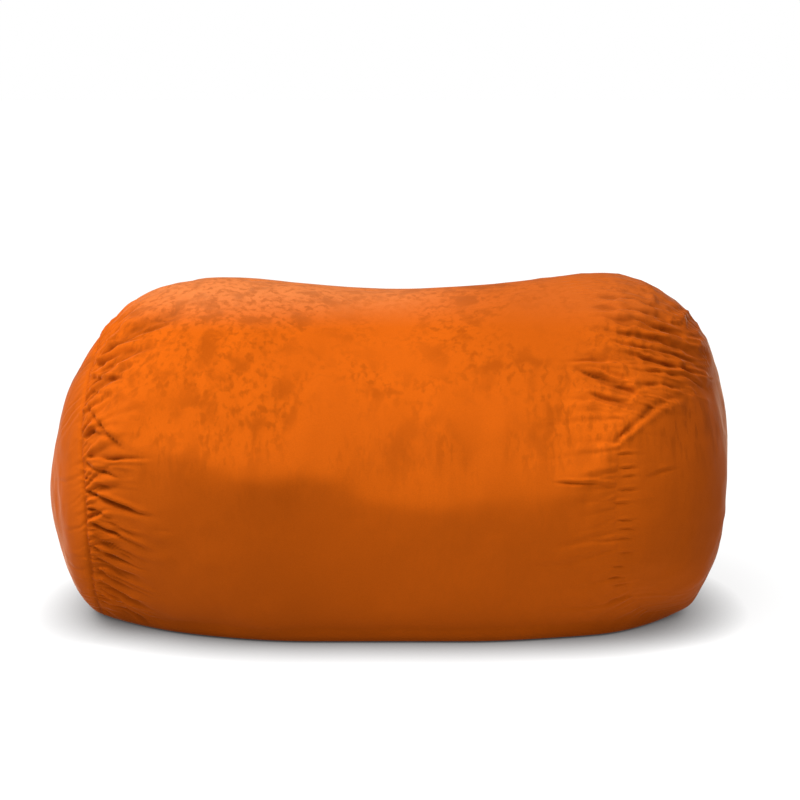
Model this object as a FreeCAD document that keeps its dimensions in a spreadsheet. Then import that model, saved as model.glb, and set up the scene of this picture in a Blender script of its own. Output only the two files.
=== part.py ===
import math
import os

import FreeCAD
import Part
import Sketcher

# Foam-filled bean bag lounger, lying on its flattened underside.
# Frame: +X along its length, -Y is the front, +Z up.
# Origin: middle of the underside, on the floor.  Millimetres.

DRIVING_SIZES = {
    # whole bag
    "bag_length": 1830, "bag_depth": 1067, "bag_height": 915, "equator_height": 440,
    "side_share": 0.85, "floor_sink": 2,
    # fabric thicknesses and the clearance between the nested shells
    "cover_gauge": 1.6, "liner_gauge": 1.0, "shell_gap": 1.5,
    # seams between the wrap panels and the end panels, and the size of the slabs that part them
    "seam_gap": 2.0, "seam_thread": 1.2, "right_seam_place": 865, "right_seam_turn": 30,
    "slab_size": 5400,
    # flattened band on the back that carries the zipper
    "back_plane": 527.5, "zip_half_length": 460,
    # zipper
    "tape_gauge": 1.0, "tape_width": 14.8, "tape_end": 20, "fly_gap": 0.5,
    "coil_inner": 1.2, "coil_outer": 4.6, "coil_gauge": 2.6,
    "slot_half_height": 8, "slot_end": 12,
    "slider_length": 20, "slider_half_height": 6.2, "slider_gauge": 1.4, "slider_play": 0.4,
    "post_length": 4.2,
    "bridge_half_length": 6, "bridge_half_width": 1.2, "bridge_leg": 1.4, "bridge_clear": 2.1,
    "tab_length": 34, "tab_half_width": 4, "tab_gauge": 1.2, "tab_window": 7.4,
    "tab_rail": 2.2, "tab_lift": 0.4,
    "stop_length": 3, "stop_half_height": 5.2,
    # shallow channels behind the zippers, in the liner and in the foam
    "liner_plane": 519.5, "foam_plane": 514, "channel_half_height": 26, "channel_end": 28,
    # care label sewn in below the zipper
    "label_width": 40, "label_drop": 50, "label_gauge": 0.8, "label_place": -300,
    "label_gap": 0.3,
}

# Cross-sections of the wrap: place along X, half depth, crown height, half width on the floor.
WRAP_SECTIONS = {
    "left_ring": (-765, 440, 775, 215),
    "left_shoulder": (-650, 505, 858, 275),
    "left_hump": (-470, 533.5, 903, 325),
    "left_waist": (-210, 533.5, 893, 340),
    "middle": (40, 533.5, 872, 345),
    "right_waist": (300, 533.5, 890, 340),
    "right_hump": (500, 533.5, 914, 325),
    "right_shoulder": (640, 512, 910, 275),
    "right_ring": (770, 440, 850, 200),
}

# The end panels are domes: angles round each dome, from its ring to its nearly closed tip.
RING_ANGLE = 25
DOME_ANGLES = (45, 62, 80)

doc = FreeCAD.newDocument("bean_bag_chair")


def make_sheet():
    sheet = doc.addObject("Spreadsheet::Sheet", "Sheet")
    values = dict(DRIVING_SIZES)
    for name, (place, half_depth, crown, floor_half) in WRAP_SECTIONS.items():
        values[name + "_place"] = place
        values[name + "_half_depth"] = half_depth
        values[name + "_crown"] = crown
        values[name + "_floor_half"] = floor_half
    for row, (alias, value) in enumerate(values.items(), start=1):
        sheet.set("A%d" % row, alias)
        sheet.set("B%d" % row, str(value))
        sheet.setAlias("B%d" % row, alias)
    doc.recompute()
    return sheet


sheet = make_sheet()


def cell(alias):
    return "Sheet." + alias


def origin_plane(body, role):
    return next(feature for feature in body.Origin.OriginFeatures if feature.Role == role)


# ------------------------------------------------------------------ cross-sections and lofts

def section_values(name, scale):
    """Arc centres and radii of a cross-section, scaled about its equator."""
    half_depth = getattr(sheet, name + "_half_depth")
    rise = getattr(sheet, name + "_crown") - sheet.equator_height
    spread = half_depth - getattr(sheet, name + "_floor_half")
    equator = float(sheet.equator_height)
    lower = (spread ** 2 + equator ** 2) / (2 * spread)
    side = sheet.side_share * rise
    shift = half_depth - side
    top = (shift ** 2 + rise ** 2 - side ** 2) / (2 * (rise - side))
    return {
        "equator": equator,
        "floor": equator * (1 - scale) - sheet.floor_sink,
        "half_depth": half_depth * scale,
        "lower": lower * scale,
        "side": side * scale,
        "top": top * scale,
        "crown": equator + rise * scale,
    }


def section_expressions(name, scale):
    """The same sizes, as expressions of the sheet's cells."""
    half_depth = cell(name + "_half_depth")
    rise = "(%s - %s)" % (cell(name + "_crown"), cell("equator_height"))
    spread = "(%s - %s)" % (half_depth, cell(name + "_floor_half"))
    equator = cell("equator_height")
    side = "(%s * %s)" % (cell("side_share"), rise)
    shift = "(%s - %s)" % (half_depth, side)
    lower = "(%s^2 + %s^2) / (2 * %s)" % (spread, equator, spread)
    top = "(%s^2 + %s^2 - %s^2) / (2 * (%s - %s))" % (shift, rise, side, rise, side)
    return {
        "floor": "%s * (1 - %s) - Sheet.floor_sink" % (equator, scale),
        "half_depth": "%s * %s" % (half_depth, scale),
        "lower": "%s * %s" % (lower, scale),
        "side": "%s * %s" % (side, scale),
        "top": "%s * %s" % (top, scale),
    }


def add_section(body, name, section, scale, place):
    """One closed cross-section: a floor line, two lower arcs, two side arcs and a crown arc."""
    sketch = body.newObject("Sketcher::SketchObject", name)
    sketch.AttachmentSupport = [(origin_plane(body, "YZ_Plane"), "")]
    sketch.MapMode = "FlatFace"
    sketch.setExpression("AttachmentOffset.Base.z", place)
    v = section_values(section, scale)
    lower_centre = v["half_depth"] - v["lower"]
    side_centre = v["half_depth"] - v["side"]
    top_centre = v["crown"] - v["top"]
    drop = v["equator"] - v["floor"]
    floor_half = lower_centre + math.sqrt(v["lower"] ** 2 - drop ** 2)
    floor_angle = math.asin(drop / v["lower"])
    top_angle = math.atan2(v["equator"] - top_centre, side_centre)

    def arc(centre_y, centre_z, radius, start, end):
        centre = FreeCAD.Vector(centre_y, centre_z, 0)
        circle = Part.Circle(centre, FreeCAD.Vector(0, 0, 1), radius)
        return sketch.addGeometry(Part.ArcOfCircle(circle, start, end))

    floor = sketch.addGeometry(Part.LineSegment(
        FreeCAD.Vector(-floor_half, v["floor"], 0), FreeCAD.Vector(floor_half, v["floor"], 0)))
    right_lower = arc(lower_centre, v["equator"], v["lower"], -floor_angle, 0)
    right_side = arc(side_centre, v["equator"], v["side"], 0, top_angle)
    top = arc(0, top_centre, v["top"], top_angle, math.pi - top_angle)
    left_side = arc(-side_centre, v["equator"], v["side"], math.pi - top_angle, math.pi)
    left_lower = arc(-lower_centre, v["equator"], v["lower"], math.pi, math.pi + floor_angle)

    start, end, centre = 1, 2, 3
    origin, vertical_axis = -1, -2
    constraint = Sketcher.Constraint
    sketch.addConstraint([
        constraint("Coincident", floor, end, right_lower, start),
        constraint("Tangent", right_lower, end, right_side, start),
        constraint("Tangent", right_side, end, top, start),
        constraint("Tangent", top, end, left_side, start),
        constraint("Tangent", left_side, end, left_lower, start),
        constraint("Coincident", left_lower, end, floor, start),
        constraint("Horizontal", floor),
        constraint("PointOnObject", top, centre, vertical_axis),
        constraint("Equal", right_lower, left_lower),
        constraint("Equal", right_side, left_side),
    ])
    for arc_id in (right_lower, right_side, left_side, left_lower):
        index = sketch.addConstraint(
            constraint("DistanceY", origin, start, arc_id, centre, v["equator"]))
        sketch.setExpression("Constraints[%d]" % index, cell("equator_height"))
    sizes = {
        "floor": constraint("DistanceY", origin, start, floor, start, v["floor"]),
        "half_depth": constraint("DistanceX", origin, start, right_side, start, v["half_depth"]),
        "lower": constraint("Radius", right_lower, v["lower"]),
        "side": constraint("Radius", right_side, v["side"]),
        "top": constraint("Radius", top, v["top"]),
    }
    expressions = section_expressions(section, scale)
    for size, new_constraint in sizes.items():
        index = sketch.addConstraint(new_constraint)
        sketch.setExpression("Constraints[%d]" % index, expressions[size])
    return sketch


def ring_to_tip(angle):
    """How far along a dome, from its ring (0) to its tip (1), the angle lies."""
    ring, tip, here = (math.sin(math.radians(a)) for a in (RING_ANGLE, DOME_ANGLES[-1], angle))
    return (here - ring) / (tip - ring)


def dome_scale(angle):
    return math.cos(math.radians(angle)) / math.cos(math.radians(RING_ANGLE))


def make_bag_loft():
    """The bag's rounded form as one loft along X, from dome tip to dome tip."""
    body = doc.addObject("PartDesign::Body", "bag_loft")
    half_length = "Sheet.bag_length / 2"
    stations = []
    for angle in reversed(DOME_ANGLES):
        place = "Sheet.left_ring_place - (%s + Sheet.left_ring_place) * %.6f"
        stations.append(("left_ring", dome_scale(angle), place % (half_length, ring_to_tip(angle))))
    for section in WRAP_SECTIONS:
        stations.append((section, 1.0, cell(section + "_place")))
    for angle in DOME_ANGLES:
        place = "Sheet.right_ring_place + (%s - Sheet.right_ring_place) * %.6f"
        stations.append(("right_ring", dome_scale(angle), place % (half_length, ring_to_tip(angle))))
    sketches = []
    for number, (section, scale, place) in enumerate(stations):
        sketches.append(add_section(body, "section_%d" % number, section, scale, place))
    doc.recompute()
    loft = body.newObject("PartDesign::AdditiveLoft", "bag_skin")
    loft.Profile = sketches[0]
    loft.Sections = sketches[1:]
    return body


# ------------------------------------------------------------------ plain blocks and booleans

def block(name, low, size):
    """A box with its low corner and its size given as expressions."""
    box = doc.addObject("Part::Box", name)
    for prop, expression in zip(("Length", "Width", "Height"), size):
        box.setExpression(prop, expression)
    for axis, expression in zip("xyz", low):
        box.setExpression("Placement.Base." + axis, expression)
    return box


def cut(name, base, tool):
    feature = doc.addObject("Part::Cut", name)
    feature.Base = base
    feature.Tool = tool
    return feature


def common(name, base, tool):
    feature = doc.addObject("Part::Common", name)
    feature.Base = base
    feature.Tool = tool
    return feature


def fuse(name, shapes):
    feature = doc.addObject("Part::MultiFuse", name)
    feature.Shapes = shapes
    return feature


PIECES = []


def piece(label, feature):
    feature.Label = label
    PIECES.append(feature)
    return feature


# ------------------------------------------------------------------ nested shells of the bag

COVER_INSIDE = "Sheet.cover_gauge"
LINER_OUTSIDE = "Sheet.cover_gauge + Sheet.shell_gap"
LINER_INSIDE = LINER_OUTSIDE + " + Sheet.liner_gauge"
FOAM_OUTSIDE = LINER_INSIDE + " + Sheet.shell_gap"


def make_bag_form():
    """The loft held to the bag's overall size, and cut flat where the zipper runs."""
    half_length = "Sheet.bag_length / 2"
    half_depth = "Sheet.bag_depth / 2"
    bag_box = block("bag_box", ("-" + half_length, "-" + half_depth, "0"),
                    ("Sheet.bag_length", "%s + Sheet.back_plane" % half_depth, "Sheet.bag_height"))
    return common("bag_form", make_bag_loft(), bag_box)


def nested_form(name, bag_form, inset):
    """The bag's form shrunk about its middle, so that it lies one inset inside on every side."""
    form = doc.addObject("Part::Scale", name + "_form")
    form.Base = bag_form
    form.Uniform = False
    form.setExpression("XScale", "1 - 2 * (%s) / Sheet.bag_length" % inset)
    form.setExpression("YScale", "1 - 2 * (%s) / Sheet.bag_depth" % inset)
    form.setExpression("ZScale", "1 - 2 * (%s) / Sheet.bag_height" % inset)
    form.setExpression("Placement.Base.z", inset)
    return form


def channelled(name, form, plane, growth):
    """Cut the shallow channel that makes room for the zipper in the back of a form."""
    reach = "(Sheet.zip_half_length + Sheet.channel_end + %s)" % growth
    height = "(Sheet.channel_half_height + %s)" % growth
    channel = block(name + "_channel", ("-" + reach, plane, "Sheet.equator_height - " + height),
                    ("2 * " + reach, "Sheet.bag_depth", "2 * " + height))
    return cut(name + "_channelled", form, channel)


def seam_slabs(prefix):
    """Slabs that part a shell: both ends, both seams and the wrap between them."""
    far = "Sheet.slab_size"
    half_far = "(Sheet.slab_size / 2)"
    gap = "Sheet.seam_gap / 2"
    thread = "Sheet.seam_thread"
    left = "Sheet.left_ring_place"
    aside = ("-" + half_far, "-" + half_far)
    tall = (far, far)
    slabs = {
        "left_end": block(prefix + "_left_end_slab", ("%s - %s - %s" % (left, gap, far),) + aside,
                          (far,) + tall),
        "left_seam": block(prefix + "_left_seam_slab", ("%s - %s / 2" % (left, thread),) + aside,
                           (thread,) + tall),
    }
    # The right seam lies in a plane turned about Z, so that its end panel faces slightly forward.
    turned = {
        "right_end": (gap, far),
        "right_seam": ("-%s / 2" % thread, thread),
        "wrap_right": ("-%s - %s" % (gap, far), far),
    }
    turn = "Sheet.right_seam_turn"
    for name, (start, length) in turned.items():
        slab = block("%s_%s_slab" % (prefix, name), ("0", "0", "-" + half_far), (length,) + tall)
        axis = FreeCAD.Vector(0, 0, 1)
        slab.Placement.Rotation = FreeCAD.Rotation(axis, -sheet.right_seam_turn)
        slab.setExpression("Placement.Rotation.Angle", "-%s * 1 deg" % turn)
        slab.setExpression("Placement.Base.x",
                           "Sheet.right_seam_place + (%s) * cos(%s * 1 deg) - %s * sin(%s * 1 deg)"
                           % (start, turn, half_far, turn))
        slab.setExpression("Placement.Base.y", "-(%s) * sin(%s * 1 deg) - %s * cos(%s * 1 deg)"
                           % (start, turn, half_far, turn))
        slabs[name] = slab
    beyond_left = block(prefix + "_wrap_left_slab", ("%s + %s" % (left, gap),) + aside,
                        (far,) + tall)
    slabs["wrap"] = common(prefix + "_wrap_slab", slabs["wrap_right"], beyond_left)
    return slabs


def part_shell(prefix, shell):
    """Split a closed shell into its wrap, its two end panels and its two rings of seam thread."""
    slabs = seam_slabs(prefix)
    piece(prefix + "_end_panel_left", common(prefix + "_end_left", shell, slabs["left_end"]))
    piece(prefix + "_end_panel_right", common(prefix + "_end_right", shell, slabs["right_end"]))
    piece(prefix + "_seam_thread_left", common(prefix + "_thread_left", shell, slabs["left_seam"]))
    piece(prefix + "_seam_thread_right", common(prefix + "_thread_right", shell, slabs["right_seam"]))
    whole_wrap = common(prefix + "_whole_wrap", shell, slabs["wrap"])
    reach = "(Sheet.zip_half_length + Sheet.slot_end)"
    slot = block(prefix + "_zip_slot",
                 ("-" + reach, "0", "Sheet.equator_height - Sheet.slot_half_height"),
                 ("2 * " + reach, "Sheet.bag_depth", "2 * Sheet.slot_half_height"))
    piece(prefix + "_wrap_panel", cut(prefix + "_slotted_wrap", whole_wrap, slot))


# ------------------------------------------------------------------ zippers

def make_zipper(prefix, plane, gauge, has_pull):
    """A coil zipper in a slot: plane is the fabric's outer face and gauge its thickness."""
    equator = "Sheet.equator_height"
    tape_back = "%s - %s - Sheet.fly_gap - Sheet.tape_gauge" % (plane, gauge)
    coil_back = "%s + Sheet.tape_gauge" % tape_back
    tape_reach = "(Sheet.zip_half_length + Sheet.tape_end)"
    coil_height = "(Sheet.coil_outer - Sheet.coil_inner)"
    edges = {
        "upper": ("%s + Sheet.coil_inner" % equator, "%s + Sheet.coil_inner" % equator),
        "lower": ("%s - Sheet.coil_inner - Sheet.tape_width" % equator,
                  "%s - Sheet.coil_outer" % equator),
    }
    for side, (tape_low, coil_low) in edges.items():
        piece("%s_zip_tape_%s" % (prefix, side),
              block("%s_tape_%s" % (prefix, side), ("-" + tape_reach, tape_back, tape_low),
                    ("2 * " + tape_reach, "Sheet.tape_gauge", "Sheet.tape_width")))
        piece("%s_zip_coil_%s" % (prefix, side),
              block("%s_coil_%s" % (prefix, side), ("-Sheet.zip_half_length", coil_back, coil_low),
                    ("2 * Sheet.zip_half_length", "Sheet.coil_gauge", coil_height)))
    stops = {
        "left": "-Sheet.zip_half_length - Sheet.slider_play - Sheet.stop_length",
        "right": "Sheet.zip_half_length + Sheet.slider_play",
    }
    for side, place in stops.items():
        piece("%s_zip_stop_%s" % (prefix, side),
              block("%s_stop_%s" % (prefix, side),
                    (place, coil_back, "%s - Sheet.stop_half_height" % equator),
                    ("Sheet.stop_length", "Sheet.coil_gauge", "2 * Sheet.stop_half_height")))
    make_slider(prefix, tape_back, coil_back, has_pull)
    if has_pull:
        make_pull_tab(prefix, coil_back)


def slider_front(coil_back):
    """Outer face of the slider's outer plate."""
    return "%s + Sheet.coil_gauge + Sheet.slider_play + Sheet.slider_gauge" % coil_back


def make_slider(prefix, tape_back, coil_back, has_pull):
    """Two plates joined by a nose post, with rims that keep the coils in and a bridge for the tab."""
    length = "Sheet.slider_length"
    start = "(Sheet.zip_half_length - Sheet.slider_length)"
    half = "Sheet.slider_half_height"
    equator = "Sheet.equator_height"
    outer_plate = "%s + Sheet.coil_gauge + Sheet.slider_play" % coil_back
    inner_plate = "%s - Sheet.slider_play - Sheet.slider_gauge" % tape_back
    name = prefix + "_slider_"
    rim_height = "(%s - Sheet.coil_outer - Sheet.slider_play)" % half
    rim_back = "%s + Sheet.slider_play" % coil_back
    post_width = "(2 * (Sheet.coil_inner - Sheet.slider_play))"
    shapes = [
        block(name + "outer_plate", (start, outer_plate, "%s - %s" % (equator, half)),
              (length, "Sheet.slider_gauge", "2 * " + half)),
        block(name + "inner_plate", (start, inner_plate, "%s - %s" % (equator, half)),
              (length, "Sheet.slider_gauge", "2 * " + half)),
        block(name + "nose_post",
              ("%s + %s - Sheet.post_length" % (start, length), inner_plate,
               "%s - %s / 2" % (equator, post_width)),
              ("Sheet.post_length", "(%s) - (%s)" % (outer_plate, inner_plate), post_width)),
        block(name + "upper_rim",
              (start, rim_back, "%s + Sheet.coil_outer + Sheet.slider_play" % equator),
              (length, "Sheet.coil_gauge", rim_height)),
        block(name + "lower_rim", (start, rim_back, "%s - %s" % (equator, half)),
              (length, "Sheet.coil_gauge", rim_height)),
    ]
    if has_pull:
        front = slider_front(coil_back)
        middle = "%s + %s / 2" % (start, length)
        reach = "Sheet.bridge_half_length"
        width = "Sheet.bridge_half_width"
        legs = {
            "tail": "%s - %s" % (middle, reach),
            "nose": "%s + %s - Sheet.bridge_leg" % (middle, reach),
        }
        for leg, place in legs.items():
            shapes.append(block(name + leg + "_leg",
                                (place, front, "%s - %s" % (equator, width)),
                                ("Sheet.bridge_leg", "Sheet.bridge_clear", "2 * " + width)))
        shapes.append(block(name + "bridge_bar",
                            ("%s - %s" % (middle, reach), "%s + Sheet.bridge_clear" % front,
                             "%s - %s" % (equator, width)),
                            ("2 * " + reach, "Sheet.bridge_leg", "2 * " + width)))
    return piece(prefix + "_zip_slider", fuse(prefix + "_slider", shapes))


def make_pull_tab(prefix, coil_back):
    """A flat tab whose cross bar turns under the slider's bridge; it lies back along the zipper."""
    equator = "Sheet.equator_height"
    pivot = "(Sheet.zip_half_length - Sheet.slider_length / 2)"
    half = "Sheet.tab_half_width"
    back = "%s + Sheet.tab_lift" % slider_front(coil_back)
    plate = block(prefix + "_tab_plate",
                  ("%s - Sheet.tab_length" % pivot, back, "%s - %s" % (equator, half)),
                  ("Sheet.tab_length + Sheet.tab_gauge / 2", "Sheet.tab_gauge", "2 * " + half))
    window_half = "(%s - Sheet.tab_rail)" % half
    window = block(prefix + "_tab_window",
                   ("%s - Sheet.tab_window - Sheet.tab_gauge / 2" % pivot, "0",
                    "%s - %s" % (equator, window_half)),
                   ("Sheet.tab_window", "Sheet.bag_depth", "2 * " + window_half))
    return piece(prefix + "_zip_pull_tab", cut(prefix + "_pull_tab", plate, window))


# ------------------------------------------------------------------ assembly

def make_cover(bag_form):
    inside = nested_form("cover_inside", bag_form, COVER_INSIDE)
    part_shell("cover", cut("cover_shell", bag_form, inside))


def make_liner(bag_form):
    outside = channelled("liner_outside", nested_form("liner_outside", bag_form, LINER_OUTSIDE),
                         cell("liner_plane"), "0")
    inside = channelled("liner_inside", nested_form("liner_inside", bag_form, LINER_INSIDE),
                        "Sheet.liner_plane - Sheet.liner_gauge", "Sheet.liner_gauge")
    part_shell("liner", cut("liner_shell", outside, inside))


def make_foam(bag_form):
    form = nested_form("foam", bag_form, FOAM_OUTSIDE)
    growth = "Sheet.liner_gauge + Sheet.shell_gap"
    piece("foam_fill", channelled("foam", form, cell("foam_plane"), growth))


def make_care_label():
    low = ("Sheet.label_place", "Sheet.back_plane + Sheet.label_gap",
           "Sheet.equator_height - Sheet.slot_half_height - Sheet.label_drop")
    size = ("Sheet.label_width", "Sheet.label_gauge", "Sheet.label_drop")
    piece("care_label", block("label", low, size))


def check_and_export():
    doc.recompute()
    for feature in doc.Objects:
        if "Invalid" in feature.State or "Error" in feature.State:
            raise RuntimeError("failed feature: " + feature.Name)
    os.makedirs("parts", exist_ok=True)
    for feature in PIECES:
        shape = feature.Shape
        if shape.isNull() or not shape.isValid() or not shape.Solids:
            raise RuntimeError("bad shape: " + feature.Label)
        print("%-26s solids %d  volume %.0f" % (feature.Label, len(shape.Solids), shape.Volume))
    for feature in PIECES:
        feature.Shape.exportStep("parts/%s.step" % feature.Label)


bag_form = make_bag_form()
make_cover(bag_form)
make_liner(bag_form)
make_foam(bag_form)
make_zipper("cover", cell("back_plane"), cell("cover_gauge"), True)
make_zipper("liner", cell("liner_plane"), cell("liner_gauge"), False)
make_care_label()
check_and_export()
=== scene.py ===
import math
from functools import partial

import bmesh
import bpy
import numpy as np
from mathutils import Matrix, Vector


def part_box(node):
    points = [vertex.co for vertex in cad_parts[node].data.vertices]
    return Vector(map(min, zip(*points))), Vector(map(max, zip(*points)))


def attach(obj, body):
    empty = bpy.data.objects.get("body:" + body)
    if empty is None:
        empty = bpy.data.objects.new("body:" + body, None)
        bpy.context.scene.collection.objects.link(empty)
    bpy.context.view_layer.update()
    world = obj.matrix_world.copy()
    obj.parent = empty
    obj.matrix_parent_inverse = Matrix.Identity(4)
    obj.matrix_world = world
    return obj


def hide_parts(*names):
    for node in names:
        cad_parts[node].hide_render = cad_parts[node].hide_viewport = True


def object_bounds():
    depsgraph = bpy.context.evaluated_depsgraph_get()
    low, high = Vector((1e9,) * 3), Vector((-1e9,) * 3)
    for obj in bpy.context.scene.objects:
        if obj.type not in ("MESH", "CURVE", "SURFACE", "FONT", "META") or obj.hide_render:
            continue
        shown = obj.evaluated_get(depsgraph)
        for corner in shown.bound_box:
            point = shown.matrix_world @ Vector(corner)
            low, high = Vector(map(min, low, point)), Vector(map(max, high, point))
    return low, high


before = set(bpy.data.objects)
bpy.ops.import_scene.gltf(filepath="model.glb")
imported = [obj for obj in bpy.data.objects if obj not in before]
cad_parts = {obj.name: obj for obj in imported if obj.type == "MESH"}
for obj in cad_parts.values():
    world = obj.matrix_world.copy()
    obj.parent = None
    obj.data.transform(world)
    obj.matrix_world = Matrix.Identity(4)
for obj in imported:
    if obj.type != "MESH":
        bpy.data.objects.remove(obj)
cad_low, cad_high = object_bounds()

# A long foam-filled lounger.  +X along the bag, -Y its front, +Z up, metres.

# ---- sizes from the frame

TIP = cad_high[0]
BACK = float(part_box("cover_wrap_panel")[1][1])
ZIP_LOW, ZIP_HIGH = (np.array(corner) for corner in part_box("cover_zip_coil_lower"))
ZIP_LINE = (ZIP_LOW[2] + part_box("cover_zip_coil_upper")[1][2]) / 2
ZIP_HALF = ZIP_HIGH[0]
SLOT_HALF = 0.008
SLOT_END = ZIP_HALF + 0.012

EQUATOR = 0.44
LEFT_SEAM = -0.768
RIGHT_SEAM = 0.865
RIGHT_TURN = math.tan(math.radians(30))

# Half sections of the plain bag, from left tip to right tip: place along X, half depth, top, and
# the underside as it would be if it could sink through the floor.
STATIONS = (
    (-0.915, 0.000, 0.345, 0.345),
    (-0.906, 0.120, 0.450, 0.235),
    (-0.885, 0.215, 0.545, 0.140),
    (-0.853, 0.300, 0.632, 0.060),
    (-0.800, 0.385, 0.709, -0.006),
    (-0.745, 0.430, 0.778, -0.032),
    (-0.690, 0.462, 0.829, -0.052),
    (-0.600, 0.500, 0.870, -0.075),
    (-0.470, 0.525, 0.894, -0.090),
    (-0.250, 0.533, 0.881, -0.100),
    (0.020, 0.533, 0.863, -0.100),
    (0.250, 0.533, 0.878, -0.100),
    (0.450, 0.532, 0.902, -0.095),
    (0.570, 0.526, 0.916, -0.088),
    (0.665, 0.502, 0.904, -0.062),
    (0.760, 0.440, 0.851, -0.022),
    (0.825, 0.365, 0.784, 0.020),
    (0.870, 0.285, 0.686, 0.090),
    (0.903, 0.180, 0.562, 0.205),
    (0.912, 0.000, 0.415, 0.415),
)


# ---- smooth curves and noise

def smooth_curve(knots, values, where):
    """A natural cubic spline through the knots."""
    n = len(knots)
    gap = np.diff(knots)
    rows = np.zeros((n, n))
    right = np.zeros(n)
    rows[0, 0] = rows[-1, -1] = 1
    for i in range(1, n - 1):
        rows[i, i - 1 : i + 2] = gap[i - 1], 2 * (gap[i - 1] + gap[i]), gap[i]
        right[i] = 6 * ((values[i + 1] - values[i]) / gap[i] - (values[i] - values[i - 1]) / gap[i - 1])
    bend = np.linalg.solve(rows, right)
    i = np.clip(np.searchsorted(knots, where, side="right") - 1, 0, n - 2)
    a = (knots[i + 1] - where) / gap[i]
    b = 1 - a
    curve = (a**3 - a) * bend[i] + (b**3 - b) * bend[i + 1]
    return a * values[i] + b * values[i + 1] + curve * gap[i] ** 2 / 6


def ramp(low, high, value):
    """A smooth step from 0 at low to 1 at high."""
    t = np.clip((value - low) / (high - low), 0, 1)
    return t * t * (3 - 2 * t)


CHANNELS, TABLE_LENGTH = 16, 4096
CELL_PRIMES = (73856093, 19349663, 83492791)
NOISE_TABLE = np.random.default_rng(11).random((CHANNELS, TABLE_LENGTH)) * 2 - 1


def noise(points, per_metre, channel=0):
    """Smooth random values between about -1 and 1, at so many lumps per metre."""
    p = points * per_metre + 40 * (channel + 1)
    cell = np.floor(p).astype(np.int64)
    t = p - cell
    t = t * t * t * (t * (t * 6 - 15) + 10)
    total = np.zeros(p.shape[:-1])
    for dx in (0, 1):
        for dy in (0, 1):
            for dz in (0, 1):
                key = np.zeros(p.shape[:-1], dtype=np.int64)
                weight = np.ones(p.shape[:-1])
                for axis, d in enumerate((dx, dy, dz)):
                    key ^= (cell[..., axis] + d) * CELL_PRIMES[axis]
                    weight = weight * (t[..., axis] if d else 1 - t[..., axis])
                total += weight * NOISE_TABLE[channel % CHANNELS][key & (TABLE_LENGTH - 1)]
    return total


# ---- the bag's plain form

PLACES, HALF_DEPTHS, TOPS, UNDERSIDES = (np.array(column) for column in zip(*STATIONS))
KNOTS = np.concatenate([np.arcsin(np.clip(PLACES / TIP, -1, 1))[:-1], [math.pi / 2]])
LOWER_FULLNESS = 0.60
FLOOR_GAP = 0.0006


def soft_floor(height, softness=0.012):
    """Heights kept above the floor, with a rounded edge where the bag lifts off it."""
    return 0.5 * (height + np.sqrt(height**2 + softness**2))


def soft_back(y, softness=0.006):
    """Depths kept in front of the plane that carries the zipper."""
    return BACK - 0.5 * ((BACK - y) + np.sqrt((BACK - y) ** 2 + softness**2)) + softness / 2


def bag_point(turn, angle):
    """The plain form: turn runs from tip to tip, angle round the section from the back, up."""
    x = TIP * np.sin(turn)
    half_depth = np.maximum(smooth_curve(KNOTS, HALF_DEPTHS, turn), 0)
    top = smooth_curve(KNOTS, TOPS, turn)
    under = smooth_curve(KNOTS, UNDERSIDES, turn)
    blend = ramp(0.62, 0.80, np.abs(x))
    middle = (1 - blend) * EQUATOR + blend * (under + (top - under) * 0.48)
    c, s = np.cos(angle), np.sin(angle)
    fuller = LOWER_FULLNESS + (1 - LOWER_FULLNESS) * ramp(0.20, 0.82, np.abs(x))
    across = np.where(s > 0, c, np.sign(c) * np.abs(c) ** fuller)
    y = half_depth * across
    z = np.where(s > 0, middle + (top - middle) * s, middle + (middle - under) * s)
    y = np.where(y > 0, np.minimum(soft_back(y), y), y)
    return np.stack([x + 0 * y, y, soft_floor(z)], axis=-1)


def surface(turn, angle):
    """Points of the plain form and the directions that point straight out of it."""
    angle = np.broadcast_to(angle, turn.shape)
    points = bag_point(turn, angle)
    step = 1e-4
    along = bag_point(turn + step, angle) - bag_point(turn - step, angle)
    around = bag_point(turn, angle + step) - bag_point(turn, angle - step)
    normal = np.cross(around, along)
    length = np.linalg.norm(normal, axis=-1, keepdims=True)
    return points, normal / np.maximum(length, 1e-14)


def seam_turn(angle, side):
    """Where each end seam crosses the section, at each angle round the bag."""
    low, high = (-1.5, -0.3) if side == "left" else (0.2, 1.57)
    low, high = np.full_like(angle, low), np.full_like(angle, high)
    for _ in range(40):
        half = (low + high) / 2
        p = bag_point(half, angle)
        if side == "left":
            beyond = p[..., 0] > LEFT_SEAM
        else:
            beyond = p[..., 0] - p[..., 1] * RIGHT_TURN > RIGHT_SEAM
        high = np.where(beyond, half, high)
        low = np.where(beyond, low, half)
    return (low + high) / 2


def section_angles(count):
    """Angles round a section from the back, up: close together in front, sparse on the floor."""
    t = np.linspace(0, 2 * math.pi, 2001)
    density = 1 - 0.7 * np.exp(-(((t - 1.5 * math.pi) / 0.55) ** 2))
    share = np.concatenate([[0], np.cumsum((density[1:] + density[:-1]) / 2)])
    return np.interp(np.arange(count) / count, share / share[-1], t)


AROUND = 1040
ALONG = 96
END_ROWS = 56
ANGLES = section_angles(AROUND)
SEAM_TURNS = {side: seam_turn(ANGLES, side) for side in ("left", "right")}


def wrap_turns(rows, seams):
    """Rows between the two seams, closer together beside the seams."""
    s = np.linspace(0, 1, rows)
    u = s - 0.55 * np.sin(2 * math.pi * s) / (2 * math.pi)
    return seams["left"][None, :] + (seams["right"] - seams["left"])[None, :] * u[:, None]


def end_turns(side, rows, seams):
    """Rings from the seam almost to the tip of an end panel."""
    tip = -math.pi / 2 if side == "left" else math.pi / 2
    r = np.linspace(0, 1, rows + 1)[:-1] ** 1.15
    return seams[side][None, :] + (tip - seams[side])[None, :] * r[:, None]


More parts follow.
